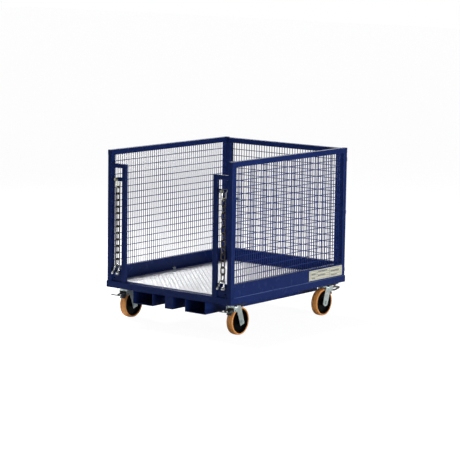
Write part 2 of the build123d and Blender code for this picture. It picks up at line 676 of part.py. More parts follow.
def wheel_tyre():
    """Cast tread, crowned, with rounded shoulders."""
    inner = WHEEL_RADIUS - TYRE_THICKNESS
    half = WHEEL_WIDTH / 2
    outline = [
        (-half, inner),
        (-half, WHEEL_RADIUS - 6.0),
        (-half + 2.5, WHEEL_RADIUS - 2.5),
        (-half + 7.0, WHEEL_RADIUS - 0.7),
        (-6.0, WHEEL_RADIUS),
    ]
    return wheel_profile(outline + [(-x, radius) for x, radius in reversed(outline)])


def brake_pedal():
    """Stirrup pedal with its shoe and pivot pin. Pressing the tip down brings the shoe to the tread."""
    arm = [(-28.0, 203.0), (-80.0, 191.0), (-80.0, 181.0), (-36.0, 184.0), (-22.0, 184.0)]
    shoe = [(-30.0, 186.0), (-40.0, 186.0), (-57.0, 161.0), (-50.0, 157.0), (-31.0, 176.0)]
    pedal = side_profile(shoe, (-21.0, 21.0))
    pedal += side_profile(arm, (21.0, 26.0))
    pedal += side_profile(arm, (-26.0, -21.0))
    barrel = LEG_INNER - 1.5
    pedal += cylinder_x(9.5, (-barrel, barrel), PEDAL_PIN_Y, PEDAL_PIN_Z)
    tread = Rectangle(60.0, 86.0)
    tread = fillet(tread.vertices(), 22.0) - fillet(Rectangle(36.0, 46.0).vertices(), 15.0)
    stirrup = Pos(0, -117.5, 191.0) * Rot(-13, 0, 0) * extrude(tread, 4.0, both=True)
    pedal += stirrup
    pedal -= cylinder_x(PEDAL_PIN_RADIUS, (-60.0, 60.0), PEDAL_PIN_Y, PEDAL_PIN_Z)
    pin_end = LEG_INNER + LEG_THICKNESS + 2.0
    pin = cylinder_x(PEDAL_PIN_RADIUS, (-pin_end, pin_end), PEDAL_PIN_Y, PEDAL_PIN_Z)
    return [pedal, pin]


def placed(shapes, corner):
    """Move a piece from the castor's own frame to one corner of the base."""
    x, y, turn = CASTORS[corner]
    pieces = shapes if isinstance(shapes, list) else [shapes]
    return [Pos(x, y, 0) * Rot(0, 0, turn) * piece for piece in pieces]


# ---------------------------------------------------------------- write every node
save("base_side_beams", base_side_beams())
save("base_end_beams", base_end_beams())
save("base_bearers", base_bearers())
save("floor_plate", floor_plate())
save("floor_ledges", floor_ledges())
save("floor_clips", floor_clips())
save("left_fork_pocket", fork_pocket(-POCKET_CENTRE))
save("right_fork_pocket", fork_pocket(POCKET_CENTRE))
save("centre_beam", centre_beam())

right_frame = side_frame()
save("right_side_frame", right_frame)
save("left_side_frame", [mirrored(piece) for piece in right_frame])
save("right_side_mesh", side_mesh(MESH_X))
save("left_side_mesh", side_mesh(-MESH_X))

right_stub = front_stub()
save("right_front_stub", right_stub)
save("left_front_stub", [mirrored(piece) for piece in right_stub])
save("front_infills", front_infills())
save("chain_lugs", chain_lugs())

for name, side in (("left", -1), ("right", 1)):
    save(name + "_upper_shackle", upper_shackle(side))
    save(name + "_chain", chain(side))
    save(name + "_lower_shackle", lower_shackle(side))

save("gate_frame", gate_frame())
save("gate_mesh", gate_mesh())
save("gate_hinge_posts", hinge_posts())
save("gate_hinge_straps", hinge_straps())
save("latch_guides", latch_guides())
save("latch_bolt", latch_bolt())
save("latch_keeper", latch_keeper())

save("data_plate", data_plate())
save("data_plate_rivets", data_plate_rivets())

front_fork = castor_fork(square_end=True)
rear_fork = castor_fork(square_end=False)
pads = []
bolts = []
kingpins = []
balls = []
for corner in CASTORS:
    pads += placed(castor_pad(), corner)
    bolts += placed([castor_bolt(x, y) for x, y in bolt_places()], corner)
    kingpins += placed(kingpin(), corner)
    balls += placed(swivel_balls(), corner)
    save("castor_" + corner + "_plate", placed(castor_plate(), corner))
    fork = front_fork if corner.startswith("front") else rear_fork
    save("castor_" + corner + "_fork", placed(fork, corner))
    save("castor_" + corner + "_axle", placed(castor_axle(), corner))
    save("castor_" + corner + "_core", placed(wheel_core(), corner))
    save("castor_" + corner + "_tyre", placed(wheel_tyre(), corner))
    save("castor_" + corner + "_pedal", placed(brake_pedal(), corner))
save("castor_pads", pads)
save("castor_bolts", bolts)
save("castor_kingpins", kingpins)
save("swivel_balls", balls)
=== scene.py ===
# %% [markdown]
# # Roll cage container
# A mesh-sided steel cage on four braked castors. The frame, castors, chains and gate come
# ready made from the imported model, and every one of them moves with its own body. This
# lesson gives each of them a finish, and builds the pieces that only the eye needs: the
# round mesh wires, the raised tread of the floor, the cast tyres and the weld beads.

import json
from math import cos, pi, radians, sin

import bmesh
import bpy
from mathutils import Matrix, Vector

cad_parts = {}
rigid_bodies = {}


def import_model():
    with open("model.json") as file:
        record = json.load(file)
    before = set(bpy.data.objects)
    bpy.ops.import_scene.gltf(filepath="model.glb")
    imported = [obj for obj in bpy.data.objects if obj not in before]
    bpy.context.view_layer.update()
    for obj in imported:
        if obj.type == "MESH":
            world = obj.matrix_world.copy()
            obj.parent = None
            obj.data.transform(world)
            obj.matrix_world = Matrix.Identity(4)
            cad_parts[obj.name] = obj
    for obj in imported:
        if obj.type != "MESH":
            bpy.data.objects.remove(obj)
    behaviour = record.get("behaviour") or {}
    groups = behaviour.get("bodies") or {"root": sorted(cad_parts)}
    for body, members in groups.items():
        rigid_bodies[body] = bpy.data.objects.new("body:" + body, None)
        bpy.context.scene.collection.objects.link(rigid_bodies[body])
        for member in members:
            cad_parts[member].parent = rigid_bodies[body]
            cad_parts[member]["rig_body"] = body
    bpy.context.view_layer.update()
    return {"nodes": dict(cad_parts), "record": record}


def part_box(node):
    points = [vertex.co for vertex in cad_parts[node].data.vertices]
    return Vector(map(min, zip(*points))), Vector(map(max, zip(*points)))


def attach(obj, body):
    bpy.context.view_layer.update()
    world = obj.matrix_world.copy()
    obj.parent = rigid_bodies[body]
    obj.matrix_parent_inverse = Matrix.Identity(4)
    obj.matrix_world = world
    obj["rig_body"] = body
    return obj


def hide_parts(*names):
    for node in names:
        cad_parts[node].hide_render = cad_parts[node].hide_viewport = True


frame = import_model()
nodes = frame["nodes"]

# %% [markdown]
# ## Small helpers for shader nodes
# A material is a graph of nodes. Three helpers keep the recipes short. The first adds a node
# and fills in its settings, the second joins outputs to inputs, and the third starts a node
# group with named sockets. A group is like a function: it is built once and placed in every
# material that needs the effect.


# %% Shader node helpers
def add(tree, kind, values=None, **settings):
    """Add a node, set its options by name and its input values by socket name."""
    node = tree.nodes.new(kind)
    for option, value in settings.items():
        setattr(node, option, value)
    for socket, value in (values or {}).items():
        node.inputs[socket].default_value = value
    return node


def join(tree, *pairs):
    """Join nodes. Each pair is (node, output name) followed by (node, input name)."""
    for (source, output), (target, entry) in pairs:
        tree.links.new(source.outputs[output], target.inputs[entry])


def new_group(name, inputs, outputs):
    """Start a shader node group. Inputs and outputs are (name, socket type, default) rows."""
    tree = bpy.data.node_groups.new(name, "ShaderNodeTree")
    for label, kind, value in inputs:
        socket = tree.interface.new_socket(label, in_out="INPUT", socket_type=kind)
        socket.default_value = value
    for label, kind in outputs:
        tree.interface.new_socket(label, in_out="OUTPUT", socket_type=kind)
    return tree, tree.nodes.new("NodeGroupInput"), tree.nodes.new("NodeGroupOutput")


FLOAT = "NodeSocketFloat"
COLOR = "NodeSocketColor"
print("shader helpers ready")

# %% [markdown]
# ## Mottled colour
# No paint or plating is one colour. Enamel pools a little darker in places and zinc clouds.
# Soft noise in the piece's own coordinates mixes two close colours, so the pattern stays on
# the piece when it swings or rolls.


# %% Group: mottled colour
def build_mottle():
    tree, start, end = new_group(
        "mottled colour",
        [
            ("Color", COLOR, (0.5, 0.5, 0.5, 1)),
            ("Shade", COLOR, (0.4, 0.4, 0.4, 1)),
            ("Scale", FLOAT, 12.0),
        ],
        [("Color", COLOR)],
    )
    place = add(tree, "ShaderNodeTexCoord")
    noise = add(tree, "ShaderNodeTexNoise", {"Detail": 5.0, "Roughness": 0.6})
    spread = add(tree, "ShaderNodeMapRange", {"From Min": 0.35, "From Max": 0.68})
    mix = add(tree, "ShaderNodeMix", data_type="RGBA")
    join(
        tree,
        ((place, "Object"), (noise, "Vector")),
        ((start, "Scale"), (noise, "Scale")),
        ((noise, "Fac"), (spread, "Value")),
        ((spread, "Result"), (mix, "Factor")),
        ((start, "Color"), (mix, "A")),
        ((start, "Shade"), (mix, "B")),
        ((mix, "Result"), (end, "Color")),
    )
    return tree


MOTTLE = build_mottle()
print("group made:", MOTTLE.name)

# %% [markdown]
# ## Worn and highlit edges
# Knocks and rubbing show first on the edges, and edges catch the light, so this one mask serves
# both: on some finishes it paints wear, on others a painted highlight. The Bevel node looks round
# each corner: where its softened normal leans away from the true one, there is an edge. Noise
# breaks the line up, so that the mark comes and goes, as wear does on a real cage.


# %% Group: worn and highlit edges
# This mask paints wear on some finishes and a painted highlight on others, where the edge colour is
# lighter.
def build_wear_and_highlight_edges():
    tree, start, end = new_group(
        "worn and highlit edges",
        [("Radius", FLOAT, 0.002), ("Amount", FLOAT, 0.5)],
        [("Mask", FLOAT)],
    )
    bevel = add(tree, "ShaderNodeBevel", samples=4)
    surface = add(tree, "ShaderNodeNewGeometry")
    lean = add(tree, "ShaderNodeVectorMath", operation="DOT_PRODUCT")
    sharp = add(tree, "ShaderNodeMapRange", {"From Min": 0.995, "From Max": 0.85})
    place = add(tree, "ShaderNodeTexCoord")
    noise = add(tree, "ShaderNodeTexNoise", {"Scale": 60.0, "Detail": 4.0})
    broken = add(tree, "ShaderNodeMapRange", {"From Min": 0.42, "From Max": 0.62})
    both = add(tree, "ShaderNodeMath", operation="MULTIPLY")
    scaled = add(tree, "ShaderNodeMath", operation="MULTIPLY", use_clamp=True)
    join(
        tree,
        ((start, "Radius"), (bevel, "Radius")),
        ((bevel, "Normal"), (lean, 0)),
        ((surface, "Normal"), (lean, 1)),
        ((lean, "Value"), (sharp, "Value")),
        ((place, "Object"), (noise, "Vector")),
        ((noise, "Fac"), (broken, "Value")),
        ((sharp, "Result"), (both, 0)),
        ((broken, "Result"), (both, 1)),
        ((both, "Value"), (scaled, 0)),
        ((start, "Amount"), (scaled, 1)),
        ((scaled, "Value"), (end, "Mask")),
    )
    return tree


EDGE_WEAR_AND_HIGHLIGHT = build_wear_and_highlight_edges()
print("group made:", EDGE_WEAR_AND_HIGHLIGHT.name)

# %% [markdown]
# ## Settled dust
# Dust lies on what faces up, in patches. The normal's upward part gives where it can lie,
# and noise gives the patches.


# %% Group: settled dust
def build_dust():
    tree, start, end = new_group("settled dust", [("Amount", FLOAT, 0.3)], [("Mask", FLOAT)])
    surface = add(tree, "ShaderNodeNewGeometry")
    split = add(tree, "ShaderNodeSeparateXYZ")
    upward = add(tree, "ShaderNodeMapRange", {"From Min": 0.3, "From Max": 1.0})
    place = add(tree, "ShaderNodeTexCoord")
    noise = add(tree, "ShaderNodeTexNoise", {"Scale": 9.0, "Detail": 8.0, "Roughness": 0.7})
    patches = add(tree, "ShaderNodeMapRange", {"From Min": 0.4, "From Max": 0.75})
    both = add(tree, "ShaderNodeMath", operation="MULTIPLY")
    scaled = add(tree, "ShaderNodeMath", operation="MULTIPLY", use_clamp=True)
    join(
        tree,
        ((surface, "Normal"), (split, "Vector")),
        ((split, "Z"), (upward, "Value")),
        ((place, "Object"), (noise, "Vector")),
        ((noise, "Fac"), (patches, "Value")),
        ((upward, "Result"), (both, 0)),
        ((patches, "Result"), (both, 1)),
        ((both, "Value"), (scaled, 0)),
        ((start, "Amount"), (scaled, 1)),
        ((scaled, "Value"), (end, "Mask")),
    )
    return tree


DUST = build_dust()
print("group made:", DUST.name)

# %% [markdown]
# ## Fine grain
# Enamel has orange peel, zinc has spangle, moulded plastic has grain. All three are a small
# height that changes quickly, so one group serves them. It also gives a slow value that
# varies how polished the surface is.


# %% Group: fine grain
def build_grain():
    tree, start, end = new_group(
        "fine grain",
        [("Scale", FLOAT, 400.0), ("Smoothest", FLOAT, 0.3), ("Roughest", FLOAT, 0.45)],
        [("Height", FLOAT), ("Roughness", FLOAT)],
    )
    place = add(tree, "ShaderNodeTexCoord")
    fine = add(tree, "ShaderNodeTexNoise", {"Detail": 2.0, "Roughness": 0.5})
    slow = add(tree, "ShaderNodeTexNoise", {"Scale": 22.0, "Detail": 6.0, "Roughness": 0.65})
    polish = add(tree, "ShaderNodeMapRange", {"From Min": 0.35, "From Max": 0.65})
    join(
        tree,
        ((place, "Object"), (fine, "Vector")),
        ((start, "Scale"), (fine, "Scale")),
        ((place, "Object"), (slow, "Vector")),
        ((slow, "Fac"), (polish, "Value")),
        ((start, "Smoothest"), (polish, "To Min")),
        ((start, "Roughest"), (polish, "To Max")),
        ((fine, "Fac"), (end, "Height")),
        ((polish, "Result"), (end, "Roughness")),
    )
    return tree


GRAIN = build_grain()
print("group made:", GRAIN.name)

# %% [markdown]
# ## One recipe, many finishes
# Every finish here is the same sandwich: mottled colour, a second colour on the edges (wear on
# some finishes, a painted highlight on others), pale dust on top, and grain for height and polish.
# The recipe wires the four groups to one Principled shader, and each finish only brings its own
# colours and numbers.


# %% Recipe for a finish
def finish(name, color, shade, mottle_scale, edge_color, edge_amount, dust, grain_scale,
           grain_height, polish, edge_radius=0.002, dust_color=(0.32, 0.31, 0.29),
           **shader_values):
    """Make one material. Colours are linear RGB, and polish is (smoothest, roughest).

    The scales count noise cells per metre, and the height and radius are in metres.
    """
    material = bpy.data.materials.new(name)
    material.use_nodes = True
    tree = material.node_tree
    tree.nodes.clear()
    output = add(tree, "ShaderNodeOutputMaterial")
    shader = add(tree, "ShaderNodeBsdfPrincipled", shader_values)
    mottle = add(tree, "ShaderNodeGroup", node_tree=MOTTLE)
    mottle.inputs["Color"].default_value = (*color, 1)
    mottle.inputs["Shade"].default_value = (*shade, 1)
    mottle.inputs["Scale"].default_value = mottle_scale
    # The edge mask lays on the edge colour: wear on some finishes, a painted highlight on others.
    wear_and_highlight = add(tree, "ShaderNodeGroup", node_tree=EDGE_WEAR_AND_HIGHLIGHT)
    wear_and_highlight.inputs["Radius"].default_value = edge_radius
    wear_and_highlight.inputs["Amount"].default_value = edge_amount
    settled = add(tree, "ShaderNodeGroup", node_tree=DUST)
    settled.inputs["Amount"].default_value = dust
    grain = add(tree, "ShaderNodeGroup", node_tree=GRAIN)
    grain.inputs["Scale"].default_value = grain_scale
    grain.inputs["Smoothest"].default_value = polish[0]
    grain.inputs["Roughest"].default_value = polish[1]
    edged = add(tree, "ShaderNodeMix", data_type="RGBA")
    edged.inputs["B"].default_value = (*edge_color, 1)
    dusted = add(tree, "ShaderNodeMix", data_type="RGBA")
    dusted.inputs["B"].default_value = (*dust_color, 1)
    bump = add(tree, "ShaderNodeBump", {"Strength": 0.5, "Distance": grain_height})
    join(
        tree,
        ((mottle, "Color"), (edged, "A")),
        ((wear_and_highlight, "Mask"), (edged, "Factor")),
        ((edged, "Result"), (dusted, "A")),
        ((settled, "Mask"), (dusted, "Factor")),
        ((dusted, "Result"), (shader, "Base Color")),
        ((grain, "Roughness"), (shader, "Roughness")),
        ((grain, "Height"), (bump, "Height")),
        ((bump, "Normal"), (shader, "Normal")),
        ((shader, "BSDF"), (output, "Surface")),
    )
    print("finish made:", name)
    return material


# %% [markdown]
# ## The painted finishes
# The cage is stove enamelled in deep blue. It is a smooth paint with faint orange peel, and
# its edges are painted a lighter blue, a painted highlight. Along the filled seams the paint is
# lighter too, a painted highlight. The wires are dipped in the same blue, painted lighter as a
# painted highlight on the thin rods. The castor pads are near black: their own paint, with the
# shade under the base painted in.

# %% Painted finishes
# The enamel's lighter edge colour is a painted highlight along the cage's edges.
blue_enamel = finish(
    "blue enamel", (0.0078, 0.0185, 0.090), (0.0064, 0.0152, 0.077), 6.0,
    (0.045, 0.080, 0.230), 0.40, 0.03, 900.0, 0.00005, (0.20, 0.29),
    **{"Specular IOR Level": 0.06},
)
# The seam's lighter blue is a painted highlight along the rounded seam.
seam_highlight_enamel = finish(
    "seam enamel with painted highlight", (0.045, 0.075, 0.210), (0.028, 0.050, 0.160), 40.0,
    (0.100, 0.140, 0.320), 0.2, 0.02, 900.0, 0.00005, (0.34, 0.48),
    **{"Specular IOR Level": 0.15},
)
# The wires' blue is the cage's blue painted lighter, a painted highlight on the thin rods.
wire_highlight_enamel = finish(
    "wire enamel with painted highlight", (0.0100, 0.0270, 0.150), (0.0080, 0.0220, 0.125), 30.0,
    (0.030, 0.060, 0.210), 0.15, 0.01, 1500.0, 0.00003, (0.34, 0.50),
    edge_radius=0.0008, **{"Specular IOR Level": 0.08},
)
# The pads' near black is partly their own paint and partly painted shade under the base.
pad_black_and_shade = finish(
    "pad black with painted shade", (0.006, 0.0065, 0.008), (0.004, 0.004, 0.005), 20.0,
    (0.05, 0.05, 0.055), 0.3, 0.05, 900.0, 0.00006, (0.45, 0.6),
    **{"Specular IOR Level": 0.3},
)

# %% [markdown]
# ## The bare and plated metals
# Castors, hinges and the latch are bright zinc plate, which looks pale and slightly green, and
# the brake pedals are a duller, darker zinc. The upper shackles have a yellow passivated coat
# that has faded to khaki, the lower ones are white zinc, and the chains are a dark brown grey
# that paints the dark reflection of their surroundings. The floor is bright tread plate, and its
# raised crests are painted brighter, a painted highlight. The data plate is a warm silver with
# dark ink.

# %% Metal finishes
bright_zinc = finish(
    "bright zinc", (0.50, 0.57, 0.55), (0.40, 0.46, 0.45), 40.0,
    (0.72, 0.76, 0.74), 0.4, 0.04, 700.0, 0.00008, (0.32, 0.5),
    **{"Metallic": 0.75},
)
dull_zinc = finish(
    "dull zinc", (0.10, 0.11, 0.11), (0.065, 0.073, 0.075), 40.0,
    (0.36, 0.38, 0.37), 0.4, 0.05, 700.0, 0.00010, (0.4, 0.6),
    **{"Metallic": 0.8},
)
khaki_zinc = finish(
    "khaki zinc", (0.46, 0.46, 0.36), (0.30, 0.30, 0.22), 70.0,
    (0.72, 0.72, 0.62), 0.5, 0.0, 700.0, 0.00006, (0.25, 0.42),
    **{"Metallic": 0.85},
)
white_zinc = finish(
    "white zinc", (0.80, 0.81, 0.80), (0.60, 0.62, 0.62), 70.0,
    (0.92, 0.92, 0.91), 0.5, 0.0, 700.0, 0.00005, (0.15, 0.30),
    **{"Metallic": 0.9},
)
# The chains' dark brown grey is painted: it stands for the dark surroundings that the links
# reflect.
chain_dark_reflection = finish(
    "chain grey with painted dark reflection", (0.095, 0.085, 0.075), (0.045, 0.040, 0.036), 90.0,
    (0.40, 0.37, 0.33), 0.4, 0.0, 600.0, 0.00010, (0.22, 0.42),
    **{"Metallic": 0.9},
)
ball_steel = finish(
    "ball steel", (0.60, 0.60, 0.60), (0.50, 0.50, 0.49), 60.0,
    (0.7, 0.7, 0.7), 0.1, 0.0, 900.0, 0.00002, (0.08, 0.16),
    **{"Metallic": 1.0},
)
# The plate's lighter edge colour is a painted highlight on its edges.
tread_plate = finish(
    "tread plate", (0.82, 0.822, 0.825), (0.72, 0.723, 0.73), 5.0,
    (0.92, 0.92, 0.92), 0.7, 0.20, 500.0, 0.00010, (0.36, 0.52),
    edge_radius=0.0008, dust_color=(0.66, 0.655, 0.64), **{"Metallic": 0.15},
)
# The crests' brighter colour is a painted highlight on the raised tread.
tread_crest_highlight = finish(
    "tread crest highlight", (0.95, 0.95, 0.95), (0.88, 0.88, 0.885), 12.0,
    (0.97, 0.97, 0.97), 0.5, 0.05, 500.0, 0.00006, (0.26, 0.40),
    edge_radius=0.0006, **{"Metallic": 0.25},
)
plate_silver = finish(
    "plate silver", (0.60, 0.59, 0.47), (0.51, 0.50, 0.40), 18.0,
    (0.60, 0.60, 0.50), 0.4, 0.05, 1200.0, 0.00003, (0.45, 0.6),
    edge_radius=0.0006, **{"Metallic": 0.3},
)
plate_ink = finish(
    "plate ink", (0.060, 0.075, 0.110), (0.045, 0.058, 0.090), 60.0,
    (0.10, 0.11, 0.14), 0.2, 0.02, 1200.0, 0.00002, (0.5, 0.65),
    edge_radius=0.0004, **{"Specular IOR Level": 0.2},
)

# %% [markdown]
# ## The wheel's plastics
# The wheel body is black moulded nylon with a fine grain. The tread is cast polyurethane in
# translucent amber. A little light goes into it and comes out again, so it gets a touch of
# subsurface scattering, as skin and wax do.

# %% Wheel finishes
black_nylon = finish(
    "black nylon", (0.0016, 0.0015, 0.0016), (0.0010, 0.0010, 0.0011), 25.0,
    (0.012, 0.012, 0.013), 0.3, 0.0, 1100.0, 0.00010, (0.30, 0.44),
    **{"Specular IOR Level": 0.05},
)
amber_tread = finish(
    "amber tread", (0.62, 0.265, 0.068), (0.50, 0.200, 0.050), 30.0,
    (0.72, 0.36, 0.12), 0.4, 0.04, 500.0, 0.00010, (0.4, 0.58),
    **{"Specular IOR Level": 0.35, "Subsurface Weight": 0.08, "Subsurface Scale": 0.004},
)

# %% [markdown]
# ## Dress the CAD pieces
# The record gives every node a material slot. One table says which finish each slot wears,
# so a node only needs its slot's name to find its finish.

# %% Put the finishes on the frame
SLOT_FINISH = {
    "blue_paint": blue_enamel,
    "mesh_paint": wire_highlight_enamel,
    "pad_paint": pad_black_and_shade,
    "chequer_plate": tread_plate,
    "zinc_plated": bright_zinc,
    "pedal_steel": dull_zinc,
    "bearing_steel": ball_steel,
    "shackle_khaki": khaki_zinc,
    "shackle_bright": white_zinc,
    "chain_steel": chain_dark_reflection,
    "wheel_black": black_nylon,
    "tread_polyurethane": amber_tread,
    "data_plate": plate_silver,
}
slot_of = {row["node"]: row["material_slot"] for row in frame["record"]["subparts"]}
for name, node in nodes.items():
    node.data.materials.clear()
    node.data.materials.append(SLOT_FINISH[slot_of[name]])
print("finishes on", len(nodes), "nodes from", len(SLOT_FINISH), "slots")


# %% [markdown]
# ## Making a piece
# New pieces are drawn with bmesh, Blender's mesh editor in code. Each is drawn where it
# belongs, with its object at the origin, then tied to the body that it moves with.


# %% Helper: turn a bmesh into a piece
def make_piece(name, mesh_data, body, slot, smooth=True, own_finish=None):
    """Close a bmesh into an object that rides on a body. It wears its slot's finish or its own."""
    bmesh.ops.recalc_face_normals(mesh_data, faces=mesh_data.faces)
    mesh = bpy.data.meshes.new(name)
    mesh_data.to_mesh(mesh)
    mesh_data.free()
    for face in mesh.polygons:
        face.use_smooth = smooth
    piece = bpy.data.objects.new(name, mesh)
    bpy.context.scene.collection.objects.link(piece)
    mesh.materials.append(own_finish or SLOT_FINISH[slot])
    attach(piece, body)
    print("piece made:", name, len(mesh.polygons), "faces")
    return piece


def body_of_node(node):
    """The body that a CAD node rides on."""
    return nodes[node]["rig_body"]


# %% [markdown]
# ## Welded mesh
# The panels are filled with welded mesh: round wires a little over 5 mm thick, upright ones
# every 25 mm and level ones every 50 mm. The two layers sink slightly into each other where
# they cross, as welded wires do. A wire is a thin eight-sided rod. An array modifier could
# repeat it, but a plain loop lets each panel fit a whole number of gaps into its own opening.
#
# Rods, beads, tyres and lozenges are all rings of points joined into bands of faces, so two
# small helpers draw a ring and a band.

# %% Welded mesh helper
WIRE_RADIUS = 0.0028
WIRE_SIDES = 8
LAYER_SHARE = 0.93  # how far each layer stands from the middle, in wire radii
GAP_ACROSS = 0.025
GAP_UP = 0.050


def add_ring(mesh_data, centre, side, other, radius, sides):
    """Add a ring of points about a centre, in the plane of two unit directions."""
    ring = []
    for index in range(sides):
        angle = 2 * pi * index / sides
        ring.append(mesh_data.verts.new(centre + radius * (cos(angle) * side + sin(angle) * other)))
    return ring


def add_band(mesh_data, ring, after):
    """Join two rings of equal length with four-sided faces."""
    for index in range(len(ring)):
        beyond = (index + 1) % len(ring)
        mesh_data.faces.new((ring[index], ring[beyond], after[beyond], after[index]))


def add_rod(mesh_data, start, end, radius, sides):
    """Add a straight round rod with closed ends."""
    run = (end - start).normalized()
    side = run.orthogonal().normalized()
    other = run.cross(side)
    rings = [add_ring(mesh_data, centre, side, other, radius, sides) for centre in (start, end)]
    add_band(mesh_data, *rings)
    for ring in rings:
        mesh_data.faces.new(ring)


def welded_mesh(name, node, across, outward):
    """Fill the opening of one CAD mesh with wires.

    across is the axis that the panel runs along, and outward points away from the cage.
    """
    low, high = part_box(node)
    middle = (low + high) / 2
    width = (high - low).dot(across)
    height = high.z - low.z
    corner = middle - across * width / 2 - Vector((0, 0, height / 2))
    upward = Vector((0, 0, 1))
    layer = outward * WIRE_RADIUS * LAYER_SHARE
    columns = round(width / GAP_ACROSS)
    rows = round(height / GAP_UP)
    wires = bmesh.new()
    for index in range(1, columns):
        foot = corner + across * (width * index / columns) - layer
        add_rod(wires, foot, foot + upward * height, WIRE_RADIUS, WIRE_SIDES)
    for index in range(1, rows):
        end = corner + upward * (height * index / rows) + layer
        add_rod(wires, end, end + across * width, WIRE_RADIUS, WIRE_SIDES)
    # The wires wear the lighter wire blue, a painted highlight.
    piece = make_piece(name, wires, body_of_node(node), "mesh_paint")
    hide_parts(node)
    return piece


# %% Three panels of welded mesh
welded_mesh("right_side_wires", "right_side_mesh", Vector((0, 1, 0)), Vector((1, 0, 0)))
welded_mesh("left_side_wires", "left_side_mesh", Vector((0, 1, 0)), Vector((-1, 0, 0)))
welded_mesh("gate_wires", "gate_mesh", Vector((1, 0, 0)), Vector((0, 1, 0)))

# %% [markdown]
# ## Tread on the floor
# Tread plate is rolled with raised lozenges, laid first one way and then the other, so that
# shoes and crates grip from every side. Each lozenge is a low six-sided hill with its foot
# just below the plate's face. There are thousands, and one mesh holds them all.

# %% Raised lozenges of the floor plate
LOZENGE_PITCH = 0.022
LOZENGE_LENGTH = 0.018
LOZENGE_WIDTH = 0.005
LOZENGE_HEIGHT = 0.0011
LOZENGE_ROOT = 0.0002  # the foot is sunk this far into the plate
LOZENGE_TOP = 0.55  # size of the flat top, as a share of the foot
LOZENGE_BLUNT = 0.55  # where the blunt ends start, as a share of the half length
LOZENGE_ANGLE = 45


def lozenge_outline(centre, turn, scale, z):
    """Six points of a long lozenge with blunt ends."""
    half_length = LOZENGE_LENGTH / 2 * scale
    half_width = LOZENGE_WIDTH / 2 * scale
    along = Vector((cos(turn), sin(turn), 0))
    side = Vector((-sin(turn), cos(turn), 0))
    blunt = LOZENGE_BLUNT
    points = [(1.0, 0.0), (blunt, 1.0), (-blunt, 1.0), (-1.0, 0.0), (-blunt, -1.0), (blunt, -1.0)]
    base = Vector((centre[0], centre[1], z))
    return [base + along * half_length * a + side * half_width * b for a, b in points]


def floor_tread():
    low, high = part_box("floor_plate")
    columns = int((high.x - low.x) / LOZENGE_PITCH)
    rows = int((high.y - low.y) / LOZENGE_PITCH)
    start_x = (low.x + high.x - (columns - 1) * LOZENGE_PITCH) / 2
    start_y = (low.y + high.y - (rows - 1) * LOZENGE_PITCH) / 2
    levels = ((1.0, high.z - LOZENGE_ROOT), (LOZENGE_TOP, high.z + LOZENGE_HEIGHT))
    hills = bmesh.new()
    for column in range(columns):
        for row in range(rows):
            centre = (start_x + column * LOZENGE_PITCH, start_y + row * LOZENGE_PITCH)
            turn = radians(LOZENGE_ANGLE if (column + row) % 2 else -LOZENGE_ANGLE)
            foot, top = (
                [hills.verts.new(point) for point in lozenge_outline(centre, turn, scale, z)]
                for scale, z in levels
            )
            hills.faces.new(top)
            add_band(hills, foot, top)
    # The lozenges wear the brighter crest colour, a painted highlight.
    return make_piece(
        "floor_lozenges", hills, "root", "chequer_plate", smooth=False, own_finish=tread_crest_highlight,
    )


floor_tread()

# %% [markdown]
# ## Cast tyres
# The tyre is cast in a mould and turned true, so it has a crowned face, rounded shoulders
# and two shallow bands. It is a lathe shape: a short outline carried round the axle.

# %% Tyres turned on a lathe
TYRE_STEPS = 128
TYRE_OUTLINE = [
    (-1.00, 0.876),
    (-1.00, 0.930),
    (-0.97, 0.955),
    (-0.89, 0.973),
    (-0.74, 0.986),
    (-0.50, 0.9945),
    (-0.44, 0.9950),
    (-0.42, 0.9925),
    (-0.36, 0.9925),
    (-0.34, 0.9965),
    (-0.15, 0.9992),
    (0.00, 1.0000),
]


def cast_tyre(corner):
    """A tyre for one castor: outline points are shares of the half width and of the radius."""
    node = "castor_" + corner + "_tyre"
    low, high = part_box(node)
    middle = (low + high) / 2
    half_width = (high.x - low.x) / 2
    radius = (high.z - low.z) / 2
    outline = TYRE_OUTLINE + [(-x, r) for x, r in reversed(TYRE_OUTLINE[:-1])]
    tyre = bmesh.new()
    rings = []
    for step in range(TYRE_STEPS):
        angle = 2 * pi * step / TYRE_STEPS
        ring = []
        for x, r in outline:
            spoke = Vector((0, cos(angle), sin(angle))) * r * radius
            ring.append(tyre.verts.new(middle + Vector((x * half_width, 0, 0)) + spoke))
        rings.append(ring)
    for step in range(TYRE_STEPS):
        add_band(tyre, rings[step], rings[(step + 1) % TYRE_STEPS])
    piece = make_piece(corner + "_cast_tyre", tyre, body_of_node(node), "tread_polyurethane")
    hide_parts(node)
    return piece


CORNERS = ("front_left", "front_right", "rear_left", "rear_right")
for corner in CORNERS:
    cast_tyre(corner)

# %% [markdown]
# ## Weld beads
# The frame is welded, and welds are what tells a made thing from a drawing. A bead is a
# thin rod laid in the corner between two pieces, with ripples where the torch paused.

# %% Weld bead helper
BEAD_RADIUS = 0.0026
THIN_BEAD_RADIUS = 0.0018
LUG_BEAD_RADIUS = 0.0022
WIDE_BEAD_RADIUS = 0.0035
RIPPLE_PITCH = 0.0045
RIPPLE_DEPTH = 0.16
BEAD_END = 0.45  # a bead's ends, as a share of its radius
BEAD_SIDES = 7
CORNER_GAP = 0.003  # a bead stops this far short of a rounded tube corner
SHEET_GAP = 0.004  # and this far short of a sheet's edge
beads = {}


